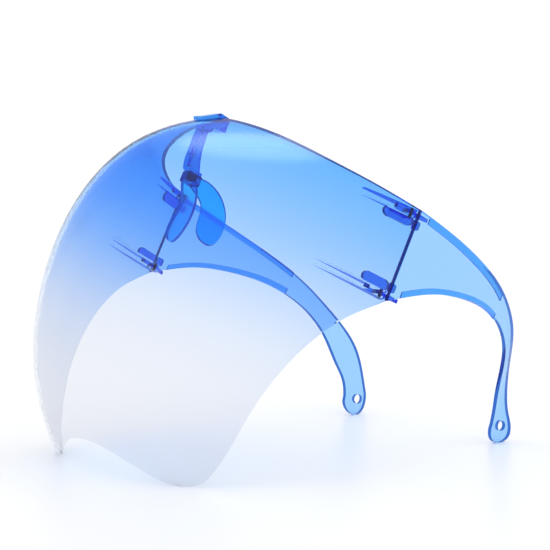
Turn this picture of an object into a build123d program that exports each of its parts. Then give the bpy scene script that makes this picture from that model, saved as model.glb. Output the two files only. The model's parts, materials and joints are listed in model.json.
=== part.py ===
from build123d import *
import os
from math import asin, atan2, degrees, hypot, radians, sin, sqrt

# Full-face shield eyewear: one moulded wraparound visor, two folding temples and
# a nose bracket with its pads, which clips over the visor's top edge.
#
# Every piece is drawn as the shield is worn: +X to the wearer's left, +Y back
# towards the ears, +Z up, with the upper end of the hinge line at y = 0, z = 0.
# At the end all pieces tilt back together, until the two chin lobes and the two
# ear tips rest on z = 0, and the footprint is centred on the origin.

# ---- visor -------------------------------------------------------------------
joint_half_width = 82.0     # centre line to the visor's outer face at the hinge line
joint_height = 38.0         # length of the straight joint between visor and temple
visor_wall = 1.8            # polycarbonate wall
face_depth = 89.0           # hinge line to the visor's face, at mid_drop
mid_drop = 60.0             # joint's top to the level of the deepest section
top_depth = 50.5            # hinge line to the top edge at the centre
top_rise = 14.2             # joint's top to the top edge at the centre
notch_depth = 57.5          # hinge line to the chin notch
notch_drop = 124.4          # joint's top to the chin notch
lobe_depth = 34.0           # hinge line to the centre of a chin lobe's round
lobe_drop = 126.0           # joint's top to the centre of a chin lobe's round
lobe_radius = 6.1

# ---- temples -----------------------------------------------------------------
temple_wall = 1.8           # polycarbonate plate
joint_gap = 0.3             # between the end faces of visor and temple
ear_reach = 110.5           # hinge line to the centre of the ear tip's round
ear_drop = 52.6             # joint's top to the centre of the ear tip's round
ear_radius = 6.0
ear_half_width = 47.3       # centre line to the plate's middle at the ear hook
cord_hole_radius = 2.2
cord_hole_rise = 1.6        # above the centre of the ear tip's round
bead_width = 2.4            # raised border along the temple's edges, on its inner face
bead_height = 0.6
bead_start = 7.0            # clear of the hinge's swing
bead_end = 66.0             # the borders end before the ear hook

# ---- hinges ------------------------------------------------------------------
pin_radius = 0.7
pin_clearance = 0.05        # knuckle's bore over the pin
pin_inset = 4.5             # visor's outer face to the pin's axis
pin_forward = 1.0           # joint to the pin's axis
flange_thick = 0.9
lug_radius = 1.8            # flange's round end about the pin
knuckle_radius = 1.6
knuckle_thick = 1.5
knuckle_clearance = 0.1     # each side, between knuckle and flange
fork_margin = 0.2           # joint's end to the outer flange
upper_rib_length = 23.5
lower_rib_length = 33.5
web_start = 3.7             # solid web between the flanges, forward of the joint
web_length = 4.4
boss_length = 12.0          # raised boss beside each fork
boss_height = 4.2
boss_thick = 1.2
boss_overlap = 0.4          # into the flange beside it
tab_length = 3.0            # the boss's short counterpart on the temple

# ---- nose bracket ------------------------------------------------------------
bracket_width = 6.0
clip_clearance = 0.12       # bracket's slot over the visor's wall
outer_leg_thick = 1.4
outer_leg_reach = 9.0       # down the visor's outside
inner_block_drop = 7.6      # visor's top edge to the inner block's underside
inner_block_step = 4.6      # visor's top edge to the block's upper step
inner_block_back = 5.0      # visor's top edge back to the block's rear face
bridge_thick = 1.4          # over the visor's top edge
stem_width = 4.4
stem_plate = 1.2            # strap that faces forward
stem_rib = 1.4              # rib behind the strap
stem_front = 56.0           # hinge line to the strap's front face, at its root
stem_drop = 11.2            # joint's top to the foot's underside
foot_back = 47.8            # hinge line to the rear of the stem's foot
tongue_width = 2.4
tongue_depth = 3.0
tongue_length = 3.2

# ---- nose pads ---------------------------------------------------------------
saddle_width = 6.4
saddle_depth = 5.6
saddle_height = 4.6
saddle_back = 50.4          # hinge line to the saddle's middle
socket_clearance = 0.1
pad_thick = 1.5
pad_length = 28.2
pad_width = 11.4
pad_down = (0.389, 0.375, -0.842)     # along the left pad, from the saddle down
pad_out = (0.877, -0.432, 0.213)      # out of the left pad's outer face

os.makedirs("parts", exist_ok=True)

fork_height = 2 * flange_thick + knuckle_thick + 2 * knuckle_clearance
pin_point = (joint_half_width - pin_inset, -pin_forward)
upper_fork_base = -fork_margin - fork_height
lower_fork_base = fork_margin - joint_height
# Each hinge: the level of its fork's underside, its ribs' length, and which way
# the middle of the joint lies.
hinges = {
    "upper": (upper_fork_base, upper_rib_length, -1),
    "lower": (lower_fork_base, lower_rib_length, 1),
}


# ---- the visor's outer face --------------------------------------------------
# A level section is a rounded wedge. Its sharpness shapes the front, its fullness
# the sides, and both change slowly from the chin to the brow.
nose_round = 0.2


def half_span(level):
    """The visor's half-width where a level plane cuts the hinge plane y = 0."""
    below_joint = max(0.0, -joint_height - level)
    return joint_half_width - 0.0233 * below_joint**1.5


def section(level):
    """Front and back limits, sharpness and fullness of the section at a level."""
    s = (level + mid_drop) / mid_drop
    front = -face_depth - 6.0 * s + 16.5 * s**2 + 2.0 * s**3 + 7.3 * s**4
    back = 29.0 + 2.5 * s
    return front, back, 1.36 - 0.43 * s, 3.0 - 0.48 * s


def share_at(level, y):
    """How wide the section is at y, in the section's own units."""
    front, back, sharpness, fullness = section(level)
    scale = (1 + nose_round**2) ** (sharpness / 2) - nose_round**sharpness
    along = 1 - ((back - y) / (back - front)) ** fullness
    return sqrt((along * scale + nose_round**sharpness) ** (2 / sharpness) - nose_round**2)


def face_x(level, y):
    """Half-width of the outer face at a level and a depth."""
    return half_span(level) * share_at(level, y) / share_at(level, 0)


def face_point(level, fraction):
    """A point on the outer face: fraction 0 on the centre line, 1 at y = 0."""
    front, back, sharpness, fullness = section(level)
    scale = (1 + nose_round**2) ** (sharpness / 2) - nose_round**sharpness
    share = fraction * share_at(level, 0)
    along = ((share**2 + nose_round**2) ** (sharpness / 2) - nose_round**sharpness) / scale
    y = back - (back - front) * (1 - along) ** (1 / fullness)
    return Vector(half_span(level) * fraction, y, level)


# The untrimmed face overruns the finished visor on every side.
highest_level = top_rise + 9
lowest_level = -lobe_drop - lobe_radius - 10
level_steps = 12
column_steps = 12
levels = [highest_level + (lowest_level - highest_level) * k / level_steps for k in range(level_steps + 1)]
columns = [sin(radians(90 * k / column_steps)) for k in range(-column_steps, column_steps + 1)]
overrun = 5.0               # past the joint, before trimming
step = 0.001


def face_at(depth):
    """The outer face, moved a depth inward along its own normals."""
    rows = []
    for level in levels:
        row = []
        widest = share_at(level, overrun) / share_at(level, 0)
        for column in columns:
            fraction = column * widest
            across = face_point(level, fraction + step) - face_point(level, fraction - step)
            upward = face_point(level + step, fraction) - face_point(level - step, fraction)
            row.append(face_point(level, fraction) - across.cross(upward).normalized() * depth)
        rows.append(row)
    return Face.make_surface_from_array_of_points(rows)


# The side plane: its x runs back along +Y, its y runs up along +Z.
side = Plane.YZ
full_width = 2 * joint_half_width
straight_back = (0, 1, 0)

with BuildSketch(side) as visor_outline:
    with BuildLine():
        top_edge = Spline(
            (0, 0),
            (-0.40 * top_depth, 0.20 * top_rise),
            (-0.71 * top_depth, 0.51 * top_rise),
            (-0.88 * top_depth, 0.82 * top_rise),
            (-top_depth, top_rise),
            (-top_depth - 8, top_rise + 0.9),
            tangents=[(-1, 0.08), (-1, 0.05)],
        )
        ahead = Polyline(
            top_edge @ 1,
            (-face_depth - 8, top_rise + 0.9),
            (-face_depth - 8, -notch_drop),
            (-notch_depth - 14, -notch_drop),
        )
        lobe = CenterArc((-lobe_depth, -lobe_drop), lobe_radius, 0, -104)
        Spline(
            ahead @ 1,
            (-notch_depth, -notch_drop),
            (-0.84 * notch_depth, -notch_drop - 3.1),
            lobe @ 1,
            tangents=[(1, 0), lobe % 1 * -1],
        )
        Spline(
            lobe @ 0,
            (-lobe_depth + 4.8, -lobe_drop + 28.5),
            (-lobe_depth + 10.0, -lobe_drop + 56.0),
            (-12.0, -joint_height - 11.5),
            (0, -joint_height),
            tangents=[(0, 1), (0.72, 0.69)],
        )
        Line((0, -joint_height), (0, 0))
    make_face()

# ---- hinge forks on the visor ------------------------------------------------
rib_steps = 6


def wall_line(level, start, length):
    """Points just inside the visor's wall, from start to length ahead of the joint."""
    ys = [-start - (length - start) * k / rib_steps for k in range(rib_steps + 1)]
    return [(face_x(level, y) - 0.9 * visor_wall, y) for y in ys]


def fork_edge(base, toward_middle):
    """The level of the fork's face that looks to the middle of the joint."""
    return base + fork_height if toward_middle > 0 else base


with BuildPart() as left_forks:
    for base, rib_length, toward_middle in hinges.values():
        for flange_base in (base, base + fork_height - flange_thick):
            with BuildSketch(Plane.XY.offset(flange_base)):
                root = wall_line(flange_base, joint_gap, rib_length)
                with BuildLine():
                    Spline(*root)
                    Polyline(
                        root[-1],
                        (pin_point[0] - lug_radius, pin_point[1] - lug_radius),
                        (pin_point[0] - lug_radius, pin_point[1]),
                        pin_point,
                        root[0],
                    )
                make_face()
                with Locations(pin_point):
                    Circle(lug_radius)
                    Circle(pin_radius, mode=Mode.SUBTRACT)
            extrude(amount=flange_thick)
        with BuildSketch(Plane.XY.offset(base + flange_thick)):
            root = wall_line(base, web_start, web_start + web_length)
            inner = pin_point[0] - lug_radius
            with BuildLine():
                Spline(*root)
                Polyline(root[-1], (inner - 0.5, root[-1][1]), (inner, root[0][1]), root[0])
            make_face()
        extrude(amount=fork_height - 2 * flange_thick)

# ---- visor -------------------------------------------------------------------
with BuildSketch(side) as boss_outlines:
    for base, rib_length, toward_middle in hinges.values():
        middle = fork_edge(base, toward_middle) + toward_middle * (boss_height / 2 - boss_overlap)
        with Locations((-joint_gap - boss_length / 2, middle)):
            SlotOverall(boss_length, boss_height)

with BuildPart() as bosses:
    extrude(face_at(visor_wall / 2), amount=full_width, dir=straight_back)
    extrude(face_at(visor_wall + boss_thick), amount=full_width, dir=straight_back, mode=Mode.SUBTRACT)
    extrude(boss_outlines.sketch, amount=full_width, both=True, mode=Mode.INTERSECT)

with BuildPart() as visor:
    extrude(face_at(0), amount=full_width, dir=straight_back)
    extrude(face_at(visor_wall), amount=full_width, dir=straight_back, mode=Mode.SUBTRACT)
    extrude(visor_outline.sketch, amount=full_width, both=True, mode=Mode.INTERSECT)
    add(bosses.part)
    add(left_forks.part)
    mirror(left_forks.part, about=Plane.YZ)

# ---- temples -----------------------------------------------------------------
plate_x = joint_half_width - temple_wall
middle_x = joint_half_width - temple_wall / 2
turn = middle_x - ear_half_width

# The temple seen from above: straight at the hinge, turning in behind the cheek,
# and flaring out again at the ear tip. Shares of the way back and of the turn in.
with BuildLine(Plane.XY) as plan:
    Spline(
        [
            (middle_x - turned * turn, way * ear_reach)
            for way, turned in (
                (0.00, 0.00),
                (0.10, 0.00),
                (0.22, 0.02),
                (0.33, 0.07),
                (0.52, 0.22),
                (0.65, 0.38),
                (0.77, 0.57),
                (0.87, 0.80),
                (0.94, 0.94),
                (1.01, 0.99),
                (1.08, 0.92),
            )
        ]
    )
plan_path = plan.edges()[0]
plan_steps = 24


def plan_side(distance):
    """Points along the temple's middle line, moved outward by a distance."""
    points = []
    for k in range(plan_steps + 1):
        heading = plan_path % (k / plan_steps)
        points.append(plan_path @ (k / plan_steps) + Vector(heading.Y, -heading.X) * distance)
    return points


def temple_strip(outer, inner):
    """The strip between two distances outward of the temple's middle line."""
    with BuildSketch(Plane.XY) as strip:
        with BuildLine():
            outside = Spline(plan_side(outer))
            inside = Spline(plan_side(inner))
            Line(outside @ 0, inside @ 0)
            Line(outside @ 1, inside @ 1)
        make_face()
    return strip.sketch


with BuildSketch(side) as temple_outline:
    with BuildLine():
        tip = CenterArc((ear_reach, -ear_drop), ear_radius, 180, 180)
        Spline(
            (joint_gap, 0),
            (0.41 * ear_reach, -0.075 * ear_drop),
            (0.65 * ear_reach, -0.19 * ear_drop),
            (0.82 * ear_reach, -0.38 * ear_drop),
            (0.92 * ear_reach, -0.57 * ear_drop),
            (ear_reach + 1.8, -ear_drop + 8),
            tip @ 1,
            tangents=[(1, -0.06), (0.1, -1)],
        )
        Spline(
            (joint_gap, -joint_height),
            (0.19 * ear_reach, -0.50 * ear_drop),
            (0.34 * ear_reach, -0.40 * ear_drop),
            (0.58 * ear_reach, -0.35 * ear_drop),
            (0.787 * ear_reach, -0.53 * ear_drop),
            (0.876 * ear_reach, -0.76 * ear_drop),
            tip @ 0,
            tangents=[(0.85, 0.53), (0.3, -1)],
        )
        Line((joint_gap, -joint_height), (joint_gap, 0))
    make_face()

# What a copy of the outline, shifted down or up, leaves bare is a border.
plate = temple_outline.sketch_local
with BuildSketch(side) as borders:
    for shift in (-bead_width, bead_width):
        add(plate - plate.moved(Location((0, shift, 0))))
    with Locations(((bead_start + bead_end) / 2, 0)):
        Rectangle(bead_end - bead_start, 4 * joint_height, mode=Mode.INTERSECT)

# The ear tip's hole is square to the plate.
hole_share = 0.93
hole_point = plan_path @ hole_share
hole_plane = Plane(
    origin=(hole_point.X, hole_point.Y, -ear_drop + cord_hole_rise),
    x_dir=(0, 0, 1),
    z_dir=Vector((plan_path % hole_share).Y, -(plan_path % hole_share).X),
)
web_end = 6.0

with BuildPart() as temple_beads:
    extrude(temple_strip(0, -temple_wall / 2 - bead_height), amount=4 * joint_height, both=True)
    extrude(borders.sketch, amount=full_width, both=True, mode=Mode.INTERSECT)

with BuildPart() as left_temple:
    extrude(temple_strip(temple_wall / 2, -temple_wall / 2), amount=4 * joint_height, both=True)
    extrude(temple_outline.sketch, amount=full_width, both=True, mode=Mode.INTERSECT)
    add(temple_beads.part)
    for base, rib_length, toward_middle in hinges.values():
        # knuckle between the flanges
        with BuildSketch(Plane.XY.offset(base + flange_thick + knuckle_clearance)):
            with BuildLine():
                Polyline(
                    pin_point,
                    (pin_point[0] + knuckle_radius, pin_point[1]),
                    (pin_point[0] + knuckle_radius, 0.5),
                    (plate_x + 0.4, 0.5),
                    (plate_x + 0.4, web_end),
                    (plate_x, web_end),
                    (pin_point[0] - 0.35 * knuckle_radius, pin_point[1] + 0.93 * knuckle_radius),
                    close=True,
                )
            make_face()
            with Locations(pin_point):
                Circle(knuckle_radius)
                Circle(pin_radius + pin_clearance, mode=Mode.SUBTRACT)
        extrude(amount=knuckle_thick)
        # tab in line with the visor's boss
        height = boss_height - boss_overlap - joint_gap
        middle = fork_edge(base, toward_middle) + toward_middle * (joint_gap + height / 2)
        with BuildSketch(side.offset(plate_x - boss_thick)):
            with Locations((joint_gap + tab_length / 2, middle)):
                RectangleRounded(tab_length, height, 0.9)
            with Locations((joint_gap + tab_length / 4, middle)):
                Rectangle(tab_length / 2, height)
        extrude(amount=boss_thick + 0.2)
    with BuildSketch(hole_plane):
        Circle(cord_hole_radius)
    extrude(amount=2 * temple_wall, both=True, mode=Mode.SUBTRACT)

with BuildPart() as right_temple:
    mirror(left_temple.part, about=Plane.YZ)

# ---- hinge pins --------------------------------------------------------------
pins = {}
for hand, sign in (("left", 1), ("right", -1)):
    for place, (base, rib_length, toward_middle) in hinges.items():
        with BuildPart() as pin:
            with BuildSketch(Plane.XY.offset(base)):
                with Locations((sign * pin_point[0], pin_point[1])):
                    Circle(pin_radius)
            extrude(amount=fork_height)
        pins[f"{hand}_{place}_pin"] = pin

# ---- nose bracket ------------------------------------------------------------
# On the side plane: the wall runs down and forward from the top edge.
top_point = Vector(-top_depth, top_rise)
down_wall = (Vector(section(top_rise - 5)[0], top_rise - 5) - top_point).normalized()
out_of_wall = Vector(down_wall.Y, -down_wall.X)
skin = clip_clearance + outer_leg_thick
leg_end = top_point + down_wall * outer_leg_reach
block_rear = -top_depth + inner_block_back

with BuildPart() as clip_space:
    extrude(face_at(-clip_clearance), amount=full_width, dir=straight_back)
    extrude(face_at(visor_wall + clip_clearance), amount=full_width, dir=straight_back, mode=Mode.SUBTRACT)
    with Locations((0, -top_depth, top_rise + clip_clearance)):
        Box(
            2 * bracket_width,
            face_depth,
            joint_height,
            align=(Align.CENTER, Align.CENTER, Align.MAX),
            mode=Mode.INTERSECT,
        )

with BuildPart() as nose_bracket:
    # legs and bridge over the visor's top edge
    with BuildSketch(side):
        with BuildLine():
            Polyline(
                top_point + out_of_wall * skin - down_wall * bridge_thick / 2,
                leg_end + out_of_wall * skin,
                leg_end - out_of_wall * visor_wall / 2,
                (-stem_front, top_rise - 5.2),
                (-stem_front, top_rise - inner_block_drop),
                (-stem_front + 4.2, top_rise - inner_block_drop),
                (-stem_front + 4.8, top_rise - inner_block_step - 1),
                (block_rear, top_rise - inner_block_step),
                (block_rear, top_rise + 1),
                (block_rear - 1, top_rise + clip_clearance + bridge_thick),
                close=True,
            )
        make_face()
    extrude(amount=bracket_width / 2, both=True)
    add(clip_space.part, mode=Mode.SUBTRACT)
    # strap and foot
    with BuildSketch(side):
        with BuildLine():
            front = Spline(
                (-stem_front, top_rise - inner_block_drop + 0.5),
                (-stem_front + 0.3, -4),
                (-stem_front + 0.8, -stem_drop + 2.4),
                (-stem_front + 2.4, -stem_drop),
                tangents=[(0, -1), (1, -0.1)],
            )
            Polyline(front @ 1, (-foot_back, -stem_drop), (-foot_back, -stem_drop + stem_plate))
            rear = Spline(
                (-foot_back, -stem_drop + stem_plate),
                (-stem_front + 2.6, -stem_drop + stem_plate + 0.3),
                (-stem_front + 0.3 + stem_plate, -4),
                (-stem_front + stem_plate, top_rise - inner_block_drop + 0.5),
                tangents=[(-1, 0), (0, 1)],
            )
            Line(rear @ 1, front @ 0)
        make_face()
    extrude(amount=stem_width / 2, both=True)
    # rib behind the strap
    with BuildSketch(side):
        with BuildLine():
            back = Spline(
                (-foot_back, -stem_drop + stem_plate / 2),
                (-stem_front + 5.8, -4.2),
                (-stem_front + 4.2, top_rise - inner_block_drop + 1),
                tangents=[(-0.4, 1), (-0.1, 1)],
            )
            Polyline(
                back @ 1,
                (-stem_front + stem_plate / 2, top_rise - inner_block_drop + 0.5),
                (-stem_front + 1.4, -4),
                (-stem_front + 2.6, -stem_drop + stem_plate / 2),
                back @ 0,
            )
        make_face()
    extrude(amount=stem_rib / 2, both=True)
    # tongue that plugs into the pads' saddle
    with Locations((0, -saddle_back, -stem_drop + 0.2)):
        Box(tongue_width, tongue_depth, tongue_length + 0.2, align=(Align.CENTER, Align.CENTER, Align.MAX))

# ---- nose pads: a saddle with two soft leaves --------------------------------
pad_plane = Plane(
    origin=(saddle_width / 2 - 0.6, -saddle_back, -stem_drop - socket_clearance - saddle_height / 2),
    x_dir=pad_down,
    z_dir=pad_out,
)
half = pad_width / 2

with BuildPart() as left_leaf:
    with BuildSketch(pad_plane):
        with BuildLine():
            Spline(
                (0, -1.4),
                (0, 1.9),
                (0.21 * pad_length, 1.44 * half),
                (0.53 * pad_length, 1.74 * half),
                (0.83 * pad_length, 1.23 * half),
                (pad_length, 0.09 * half),
                (0.85 * pad_length, -0.61 * half),
                (0.57 * pad_length, -0.25 * half),
                (0.28 * pad_length, 0),
                periodic=True,
            )
        make_face()
    extrude(amount=pad_thick / 2, both=True)

with BuildPart() as nose_pads:
    with Locations((0, -saddle_back, -stem_drop - socket_clearance)):
        Box(saddle_width, saddle_depth, saddle_height, align=(Align.CENTER, Align.CENTER, Align.MAX))
    fillet(nose_pads.edges().filter_by(Axis.Y), radius=0.8)
    add(left_leaf.part)
    mirror(left_leaf.part, about=Plane.YZ)
    with Locations((0, -saddle_back, -stem_drop)):
        Box(
            tongue_width + 2 * socket_clearance,
            tongue_depth + 2 * socket_clearance,
            tongue_length + socket_clearance,
            align=(Align.CENTER, Align.CENTER, Align.MAX),
            mode=Mode.SUBTRACT,
        )

# ---- rest --------------------------------------------------------------------
# The line that touches both rounds from below lies flat on the table.
rise = lobe_drop - ear_drop
reach = ear_reach + lobe_depth
rest_tilt = atan2(rise, reach) - asin((ear_radius - lobe_radius) / hypot(rise, reach))
tilt = Location((0, 0, 0), (-degrees(rest_tilt), 0, 0))
tilted_visor = visor.part.moved(tilt).bounding_box()
tilted_temple = left_temple.part.moved(tilt).bounding_box()
y_middle = (tilted_visor.min.Y + tilted_temple.max.Y) / 2
lowest = min(tilted_visor.min.Z, tilted_temple.min.Z)
at_rest = Location((0, -y_middle, -lowest)) * tilt


def finish(piece, name):
    """Lay a finished piece at rest and export it."""
    piece.part.label = name
    piece.part.move(at_rest)
    export_step(piece.part, f"parts/{name}.step")


finish(visor, "visor")
finish(left_temple, "left_temple")
finish(right_temple, "right_temple")
finish(nose_bracket, "nose_bracket")
finish(nose_pads, "nose_pads")
for name, pin in pins.items():
    finish(pin, name)
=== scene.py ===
"""Full-face shield glasses in tinted polycarbonate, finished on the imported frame."""

import json
import math

import bmesh
import bpy
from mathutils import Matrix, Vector


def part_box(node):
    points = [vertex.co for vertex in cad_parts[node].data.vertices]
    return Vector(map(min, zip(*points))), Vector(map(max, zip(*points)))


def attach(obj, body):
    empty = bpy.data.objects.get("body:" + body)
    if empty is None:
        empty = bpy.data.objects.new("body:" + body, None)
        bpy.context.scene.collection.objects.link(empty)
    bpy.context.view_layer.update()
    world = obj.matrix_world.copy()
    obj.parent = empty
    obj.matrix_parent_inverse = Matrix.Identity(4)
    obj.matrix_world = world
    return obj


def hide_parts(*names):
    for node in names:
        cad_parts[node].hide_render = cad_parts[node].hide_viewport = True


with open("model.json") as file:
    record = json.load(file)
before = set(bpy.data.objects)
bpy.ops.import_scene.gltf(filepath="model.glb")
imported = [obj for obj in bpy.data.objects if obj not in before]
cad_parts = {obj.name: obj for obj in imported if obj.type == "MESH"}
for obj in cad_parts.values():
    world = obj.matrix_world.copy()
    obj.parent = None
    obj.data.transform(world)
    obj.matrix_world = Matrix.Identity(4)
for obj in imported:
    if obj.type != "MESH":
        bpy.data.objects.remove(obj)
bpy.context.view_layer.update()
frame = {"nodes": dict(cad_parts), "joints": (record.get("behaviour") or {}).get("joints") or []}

bl_info = {
    "name": "Face Shield Finish",
    "version": (1, 0, 0),
    "blender": (4, 5, 0),
    "location": "View3D > Sidebar > Face Shield",
    "description": "Moulded visor, temples, nose bracket, pads and pins of a full-face shield",
    "category": "Object",
}

MM = 0.001

# Mesh clean-up and shading.
MERGE_DISTANCE = 0.002 * MM
FLAT_ANGLE = math.radians(0.4)      # faces flatter than this join into one
SHARP_ANGLE = math.radians(28)      # edges sharper than this stay crisp
PATCH_ANGLE = math.radians(25)      # faces flatter than this share one surface
NORMAL_WEIGHT = 90

# Material slots shared by the visor and the temples; the rim slot carries painted shade.
WALL, RIM, HINGE_PART, BORDER = range(4)
SHELL_FACES = 2                     # the moulding's outer and inner face
PAD_FACES = 4                       # both broad faces of both leaves
KNUCKLE_REACH = 8 * MM              # hinge line to where the borders begin

# Plastic.
POLYCARBONATE_IOR = 1.58
FLOW_WAVE = 28 * MM                 # length of a moulding's surface waves
FLOW_WAVE_HEIGHT = 0.4 * MM
FLOW_WAVE_STRENGTH = 0.02
GLOSS_SPREAD = 0.2                  # coat roughness: soft-edged glare

# Camera, in degrees and metres.
CAMERA_TURN = 52.70
CAMERA_RISE = 4.95
CAMERA_DISTANCE = 0.73398
CAMERA_TARGET = Vector((60.91, -38.43, 79.46)) * MM
CAMERA_LENS = 127.2
CAMERA_SENSOR = 36.0

# How the shield is worn: the hinge axis is upright then, and the visor faces forward.
left_hinge = next(j for j in frame["joints"] if j["name"] == "left_temple_fold")
WORN_UP = Vector(left_hinge["axis"]).normalized()
WORN_SIDE = Vector((1, 0, 0))
WORN_BACK = WORN_UP.cross(WORN_SIDE)
HINGE = Vector(left_hinge["pos_m"])

visor_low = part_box("visor")[0]
bracket_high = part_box("nose_bracket")[1]


def level_of(point):
    """A point's height as worn."""
    return Vector(point).dot(WORN_UP)


# The ends of the fade, in metres.
BROW_LEVEL = level_of((0, bracket_high[1], bracket_high[2]))
CHIN_LEVEL = level_of((0, visor_low[1], visor_low[2]))


def linear(hex_colour):
    """An sRGB hex colour as linear RGB with full alpha."""
    digits = hex_colour.lstrip("#")
    values = []
    for k in (0, 2, 4):
        c = int(digits[k:k + 2], 16) / 255
        values.append(c / 12.92 if c <= 0.04045 else ((c + 0.055) / 1.055) ** 2.4)
    return (*values, 1.0)


def colour_prop(name, description, default):
    return bpy.props.FloatVectorProperty(
        name=name, description=description, subtype="COLOR", size=4,
        min=0.0, max=1.0, default=linear(default),
    )


def length_prop(name, description, default, **limits):
    return bpy.props.FloatProperty(
        name=name, description=description, default=default, unit="LENGTH", **limits
    )


# ---- settings ----------------------------------------------------------------


class ShieldTints(bpy.types.PropertyGroup):
    """Dye in the mouldings, and the painted shade on their cut edges."""

    brow: colour_prop("Brow tint", "What one wall lets through at the brow", "#44A8FA")
    eyes: colour_prop("Eye tint", "What one wall lets through at eye level", "#98C9FF")
    mouth: colour_prop("Mouth tint", "What one wall lets through below the fade", "#E9EDF6")
    chin: colour_prop("Chin tint", "What one wall lets through at the chin", "#EDEEF2")
    # The two visor rim tints are painted shade: a dark line on the cut edge, darker than the dye
    # alone.
    rim: colour_prop("Rim tint", "Cut edge of the visor at the brow, seen end on", "#05145C")
    low_rim: colour_prop("Lower rim tint", "Cut edge of the visor at the chin", "#1C2238")
    hinge: colour_prop("Hinge tint", "Hinge forks and bosses", "#0530D8")
    border: colour_prop("Border tint", "Raised borders along the temples", "#1E7CF4")
    # Painted shade: the dark line on a temple's edge, also used on the edges of the nose pads.
    temple_rim: colour_prop("Temple rim tint", "Edge of a temple, seen end on", "#06349C")
    temple: colour_prop("Temple tint", "What a temple's wall lets through", "#9ACDFF")
    bracket: colour_prop("Bracket tint", "Nose bracket", "#2A88E8")
    pad: colour_prop("Pad tint", "Nose pads", "#1CC4FF")


class ShieldSizes(bpy.types.PropertyGroup):
    """Sizes of the stage."""

    floor_size: length_prop("Floor size", "Side of the pale floor", 12.0, min=1.0)


# ---- materials ---------------------------------------------------------------


def add_node(tree, kind, settings=(), links=()):
    """Add a node, set its sockets or attributes, and feed its inputs."""
    node = tree.nodes.new(kind)
    for key, value in dict(settings).items():
        if isinstance(key, int) or key in node.inputs:
            node.inputs[key].default_value = value
        else:
            setattr(node, key, value)
    for key, source in dict(links).items():
        tree.links.new(source, node.inputs[key])
    return node


def new_material(name):
    material = bpy.data.materials.new(name)
    material.use_nodes = True
    material.node_tree.nodes.clear()
    return material, material.node_tree


def moulded_plastic(name, roughness, bend):
    """Transparent moulded plastic with no colour set yet.

    A thin even wall hardly bends what is seen through it, so the body's index is
    low and a coat with polycarbonate's own index gives the surface its gloss.
    """
    material, tree = new_material(name)
    place = add_node(tree, "ShaderNodeTexCoord")
    # Flow waves a few centimetres long, only enough to bend a reflection.
    waves = add_node(
        tree,
        "ShaderNodeTexNoise",
        {"Scale": 1 / FLOW_WAVE, "Detail": 1.0},
        {"Vector": place.outputs["Object"]},
    )
    bump = add_node(
        tree,
        "ShaderNodeBump",
        {"Strength": FLOW_WAVE_STRENGTH, "Distance": FLOW_WAVE_HEIGHT},
        {"Height": waves.outputs["Fac"]},
    )
    shader = add_node(
        tree,
        "ShaderNodeBsdfPrincipled",
        {
            "Roughness": roughness,
            "IOR": bend,
            "Transmission Weight": 1.0,
            "Coat Weight": 0.4,
            "Coat Roughness": GLOSS_SPREAD,
            "Coat IOR": POLYCARBONATE_IOR,
        },
        {"Normal": bump.outputs["Normal"]},
    )
    add_node(tree, "ShaderNodeOutputMaterial", (), {"Surface": shader.outputs["BSDF"]})
    return material, tree, shader, place


def clear_plastic(name, colour, roughness=0.03, bend=1.02):
    """Transparent moulded plastic, evenly dyed."""
    material, _, shader, _ = moulded_plastic(name, roughness, bend)
    shader.inputs["Base Color"].default_value = colour
    return material


def faded_polycarbonate(name, stops, roughness=0.03, bend=1.02):
    """Polycarbonate dipped in dye: the tint fades with height as worn."""
    material, tree, shader, place = moulded_plastic(name, roughness, bend)
    height = add_node(
        tree,
        "ShaderNodeVectorMath",
        {"operation": "DOT_PRODUCT", 1: WORN_UP},
        {0: place.outputs["Object"]},
    )
    share = add_node(
        tree,
        "ShaderNodeMapRange",
        {"From Min": CHIN_LEVEL, "From Max": BROW_LEVEL},
        {"Value": height.outputs["Value"]},
    )
    ramp = add_node(tree, "ShaderNodeValToRGB", (), {"Fac": share.outputs["Result"]})
    ramp.color_ramp.interpolation = "B_SPLINE"
    elements = ramp.color_ramp.elements
    while len(elements) < len(stops):
        elements.new(0.5)
    for element, (position, colour) in zip(elements, stops):
        element.position = position
        element.color = colour
    # A glancing line of sight runs further through the dyed wall and looks deeper.
    facing = add_node(tree, "ShaderNodeLayerWeight", {"Blend": 0.5})
    steep = add_node(
        tree,
        "ShaderNodeMath",
        {"operation": "POWER", 1: 5.0},
        {0: facing.outputs["Facing"]},
    )
    depth = add_node(
        tree,
        "ShaderNodeMath",
        {"operation": "MULTIPLY_ADD", 1: 0.35, 2: 1.0},
        {0: steep.outputs[0]},
    )
    deeper = add_node(
        tree,
        "ShaderNodeGamma",
        (),
        {"Color": ramp.outputs["Color"], "Gamma": depth.outputs[0]},
    )
    tree.links.new(deeper.outputs["Color"], shader.inputs["Base Color"])
    return material


def steel_wire(name):
    """Drawn steel wire: fine marks break up its gloss."""
    material, tree = new_material(name)
    place = add_node(tree, "ShaderNodeTexCoord")
    # Marks 0.15 mm apart.
    marks = add_node(
        tree,
        "ShaderNodeTexNoise",
        {"Scale": 1 / (0.15 * MM), "Detail": 2.0},
        {"Vector": place.outputs["Object"]},
    )
    rough = add_node(
        tree,
        "ShaderNodeMapRange",
        {"To Min": 0.25, "To Max": 0.45},
        {"Value": marks.outputs["Fac"]},
    )
    shader = add_node(
        tree,
        "ShaderNodeBsdfPrincipled",
        {"Base Color": linear("#5A5F74"), "Metallic": 1.0},
        {"Roughness": rough.outputs["Result"]},
    )
    add_node(tree, "ShaderNodeOutputMaterial", (), {"Surface": shader.outputs["BSDF"]})
    return material


# ---- mesh helpers ------------------------------------------------------------


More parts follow.
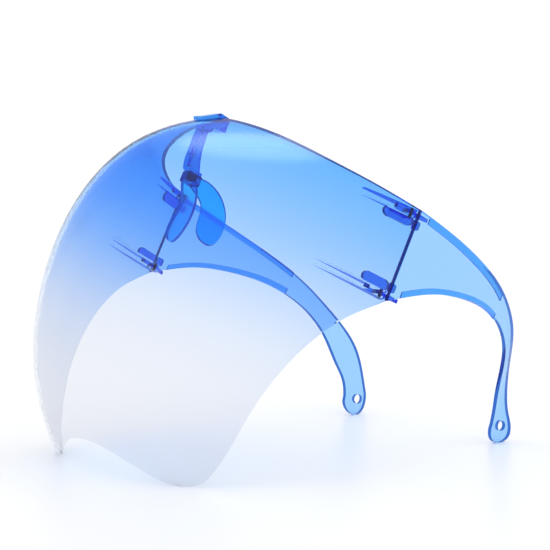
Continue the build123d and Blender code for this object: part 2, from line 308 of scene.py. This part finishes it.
def merged_copy(node):
    """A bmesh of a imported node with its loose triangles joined."""
    shape = bmesh.new()
    shape.from_mesh(frame["nodes"][node].data)
    bmesh.ops.remove_doubles(shape, verts=shape.verts, dist=MERGE_DISTANCE)
    bmesh.ops.dissolve_limit(
        shape,
        angle_limit=FLAT_ANGLE,
        verts=shape.verts,
        edges=shape.edges,
        delimit={"NORMAL"},
    )
    return shape


def make_piece(shape, name, body, materials, nodes):
    """Turn a bmesh into a finished piece that rides on a body."""
    mesh = bpy.data.meshes.new(name)
    shape.to_mesh(mesh)
    shape.free()
    mesh.shade_smooth()
    mesh.set_sharp_from_angle(angle=SHARP_ANGLE)
    piece = bpy.data.objects.new(name, mesh)
    bpy.context.scene.collection.objects.link(piece)
    for material in materials:
        mesh.materials.append(material)
    # Large faces set the shading, so slivers beside them leave no streaks.
    weighted = piece.modifiers.new("weighted_normals", "WEIGHTED_NORMAL")
    weighted.keep_sharp = True
    weighted.weight = NORMAL_WEIGHT
    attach(piece, body)
    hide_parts(*nodes)
    return piece


def smooth_patches(shape):
    """Groups of faces joined across nearly flat edges, largest first."""
    shape.faces.ensure_lookup_table()
    grouped = set()
    patches = []
    for seed in shape.faces:
        if seed in grouped:
            continue
        grouped.add(seed)
        members = [seed]
        queue = [seed]
        while queue:
            for edge in queue.pop().edges:
                if len(edge.link_faces) != 2 or edge.calc_face_angle(0) > PATCH_ANGLE:
                    continue
                for other in edge.link_faces:
                    if other not in grouped:
                        grouped.add(other)
                        members.append(other)
                        queue.append(other)
        patches.append(members)
    return sorted(patches, key=lambda faces: -sum(f.calc_area() for f in faces))


def paint_details(shape, beyond_hinge):
    """Slots for cut rims, hinge details, and what lies behind the hinge."""
    for members in smooth_patches(shape)[SHELL_FACES:]:
        for face in members:
            middle = face.calc_center_median()
            # The outline is cut square to the centre plane, so rims face no side.
            side_on = abs(face.normal.x) < 0.05
            level = abs(face.normal.dot(WORN_UP)) > 0.99
            flange = level and abs(middle.x) > 0.8 * HINGE.x
            if side_on and not flange:
                # Rims take the slot that holds the painted shade.
                face.material_index = RIM
            elif (middle - HINGE).dot(WORN_BACK) > KNUCKLE_REACH:
                face.material_index = beyond_hinge
            else:
                face.material_index = HINGE_PART


# ---- operators ---------------------------------------------------------------


class FACESHIELD_OT_visor(bpy.types.Operator):
    """Finish the moulded visor with its faded tint, cut rims and hinge forks"""

    bl_idname = "faceshield.visor"
    bl_label = "Visor"

    def execute(self, context):
        tints = context.scene.shield_tints
        # Dip-dyed polycarbonate: glass-clear, blue at the brow, almost clear at the chin.
        wall = faded_polycarbonate(
            "dip_dyed_polycarbonate",
            [(0.10, tints.chin), (0.42, tints.mouth), (0.66, tints.eyes), (0.97, tints.brow)],
        )
        # Painted shade on the cut rim: the edge carries light along the wall, and the dark,
        # saturated navy it shows is painted into its colour.
        rim = faded_polycarbonate(
            "painted_shade_polycarbonate_rim",
            [(0.10, tints.low_rim), (0.48, tints.low_rim), (0.60, tints.rim), (0.97, tints.rim)],
            roughness=0.15,
        )
        # Thick hinge mouldings hold more dye in the line of sight.
        hinge = clear_plastic(
            "dyed_polycarbonate_hinge", tints.hinge, roughness=0.05, bend=1.15
        )
        shape = merged_copy("visor")
        paint_details(shape, HINGE_PART)
        make_piece(
            shape, "visor_moulding", "shield", [wall, rim, hinge], ["visor"]
        )
        return {"FINISHED"}


class FACESHIELD_OT_temples(bpy.types.Operator):
    """Finish both temples with their raised borders and knuckles"""

    bl_idname = "faceshield.temples"
    bl_label = "Temples"

    def execute(self, context):
        tints = context.scene.shield_tints
        # Evenly dyed polycarbonate: pale blue where one wall thick.
        plate = clear_plastic("dyed_polycarbonate_temple", tints.temple)
        # Painted shade: the plate's edge, seen end on, gets a dark line painted into its colour.
        rim = clear_plastic("painted_shade_temple_rim", tints.temple_rim, roughness=0.12)
        # Thick hinge mouldings hold more dye in the line of sight.
        knuckle = clear_plastic(
            "dyed_polycarbonate_knuckle", tints.hinge, roughness=0.05, bend=1.15
        )
        # A raised border is a third thicker than the plate and reads a stronger blue.
        border = clear_plastic("dyed_polycarbonate_border", tints.border, roughness=0.04)
        for hand in ("left", "right"):
            node = f"{hand}_temple"
            shape = merged_copy(node)
            paint_details(shape, BORDER)
            materials = [plate, rim, knuckle, border]
            make_piece(shape, f"{node}_moulding", node, materials, [node])
        return {"FINISHED"}


class FACESHIELD_OT_nose_bracket(bpy.types.Operator):
    """Finish the bracket that clips over the brow"""

    bl_idname = "faceshield.nose_bracket"
    bl_label = "Nose bracket"

    def execute(self, context):
        tints = context.scene.shield_tints
        # Clear polycarbonate in a thicker section than the visor: deeper blue.
        plastic = clear_plastic(
            "dyed_polycarbonate_bracket", tints.bracket, roughness=0.04, bend=1.2
        )
        shape = merged_copy("nose_bracket")
        make_piece(
            shape, "nose_bracket_moulding", "shield", [plastic], ["nose_bracket"]
        )
        return {"FINISHED"}


class FACESHIELD_OT_nose_pads(bpy.types.Operator):
    """Finish the saddle and its two soft leaves"""

    bl_idname = "faceshield.nose_pads"
    bl_label = "Nose pads"

    def execute(self, context):
        tints = context.scene.shield_tints
        # Translucent silicone: softer gloss than the polycarbonate beside it.
        silicone = clear_plastic(
            "translucent_silicone_pad", tints.pad, roughness=0.12, bend=1.12
        )
        # Painted shade: the leaves' edges get a dark outline painted into their colour.
        rim = clear_plastic("painted_shade_silicone_rim", tints.temple_rim, roughness=0.12)
        shape = merged_copy("nose_pads")
        for members in smooth_patches(shape)[PAD_FACES:]:
            for face in members:
                face.material_index = RIM
        make_piece(
            shape, "nose_pads_moulding", "shield", [silicone, rim], ["nose_pads"]
        )
        return {"FINISHED"}


class FACESHIELD_OT_pins(bpy.types.Operator):
    """Give the four hinge pins their wire finish"""

    bl_idname = "faceshield.pins"
    bl_label = "Hinge pins"

    def execute(self, context):
        # Plain wire: a dull grey glint deep inside each fork.
        wire = steel_wire("drawn_steel_wire")
        for node, thing in frame["nodes"].items():
            if node.endswith("_pin"):
                for slot in thing.material_slots:
                    slot.material = wire
        return {"FINISHED"}


class FACESHIELD_OT_stage(bpy.types.Operator):
    """Set the pale floor, the soft light and the camera"""

    bl_idname = "faceshield.stage"
    bl_label = "Stage"

    def execute(self, context):
        scene = context.scene
        size = scene.shield_sizes.floor_size
        shape = bmesh.new()
        bmesh.ops.create_grid(shape, x_segments=1, y_segments=1, size=size / 2)
        mesh = bpy.data.meshes.new("floor")
        shape.to_mesh(mesh)
        shape.free()
        floor = bpy.data.objects.new("floor", mesh)
        scene.collection.objects.link(floor)
        # Satin white paper: a faint, blurred reflection under the mouldings.
        paper, tree = new_material("white_paper_sweep")
        shader = add_node(
            tree,
            "ShaderNodeBsdfPrincipled",
            {"Base Color": linear("#FFFFFF"), "Roughness": 0.35, "Specular IOR Level": 0.4},
        )
        add_node(tree, "ShaderNodeOutputMaterial", (), {"Surface": shader.outputs["BSDF"]})
        mesh.materials.append(paper)

        world = bpy.data.worlds.new("soft_white_room")
        world.use_nodes = True
        background = world.node_tree.nodes["Background"]
        background.inputs["Color"].default_value = (1.0, 1.0, 1.0, 1.0)
        background.inputs["Strength"].default_value = 1.06
        scene.world = world
        scene.view_settings.view_transform = "Standard"

        # A soft box over the far side leaves a glare on the near half of the brow.
        box = bpy.data.lights.new("soft_box", "AREA")
        box.shape = "DISK"
        box.size = 0.7
        box.energy = 5.0
        lamp = bpy.data.objects.new("soft_box", box)
        lamp.location = (-0.34, 0.38, 1.20)
        lamp.rotation_euler = lamp.location.to_track_quat("Z", "Y").to_euler()
        lamp.visible_diffuse = False
        scene.collection.objects.link(lamp)

        turn = math.radians(CAMERA_TURN)
        rise = math.radians(CAMERA_RISE)
        back = Vector(
            (
                math.sin(turn) * math.cos(rise),
                -math.cos(turn) * math.cos(rise),
                math.sin(rise),
            )
        )
        lens = bpy.data.cameras.new("camera")
        lens.sensor_width = CAMERA_SENSOR
        lens.lens = CAMERA_LENS
        lens.clip_end = 50.0
        camera = bpy.data.objects.new("camera", lens)
        camera.location = CAMERA_TARGET + back * CAMERA_DISTANCE
        camera.rotation_euler = (-back).to_track_quat("-Z", "Y").to_euler()
        scene.collection.objects.link(camera)
        scene.camera = camera
        return {"FINISHED"}


class FACESHIELD_PT_panel(bpy.types.Panel):
    """Lists the shield's pieces"""

    bl_idname = "FACESHIELD_PT_panel"
    bl_label = "Face Shield"
    bl_space_type = "VIEW_3D"
    bl_region_type = "UI"
    bl_category = "Face Shield"

    def draw(self, context):
        layout = self.layout
        for operator in OPERATORS:
            layout.operator(operator.bl_idname)
        for settings in (context.scene.shield_tints, context.scene.shield_sizes):
            for name in settings.bl_rna.properties.keys():
                if name not in ("rna_type", "name"):
                    layout.prop(settings, name)


OPERATORS = (
    FACESHIELD_OT_stage,
    FACESHIELD_OT_visor,
    FACESHIELD_OT_temples,
    FACESHIELD_OT_nose_bracket,
    FACESHIELD_OT_nose_pads,
    FACESHIELD_OT_pins,
)
CLASSES = (ShieldTints, ShieldSizes, *OPERATORS, FACESHIELD_PT_panel)


def register():
    for cls in CLASSES:
        bpy.utils.register_class(cls)
    bpy.types.Scene.shield_tints = bpy.props.PointerProperty(type=ShieldTints)
    bpy.types.Scene.shield_sizes = bpy.props.PointerProperty(type=ShieldSizes)


def unregister():
    del bpy.types.Scene.shield_sizes
    del bpy.types.Scene.shield_tints
    for cls in reversed(CLASSES):
        bpy.utils.unregister_class(cls)


def main():
    register()
    bpy.ops.faceshield.stage()
    bpy.ops.faceshield.visor()
    bpy.ops.faceshield.temples()
    bpy.ops.faceshield.nose_bracket()
    bpy.ops.faceshield.nose_pads()
    bpy.ops.faceshield.pins()


if __name__ == "__main__":
    main()
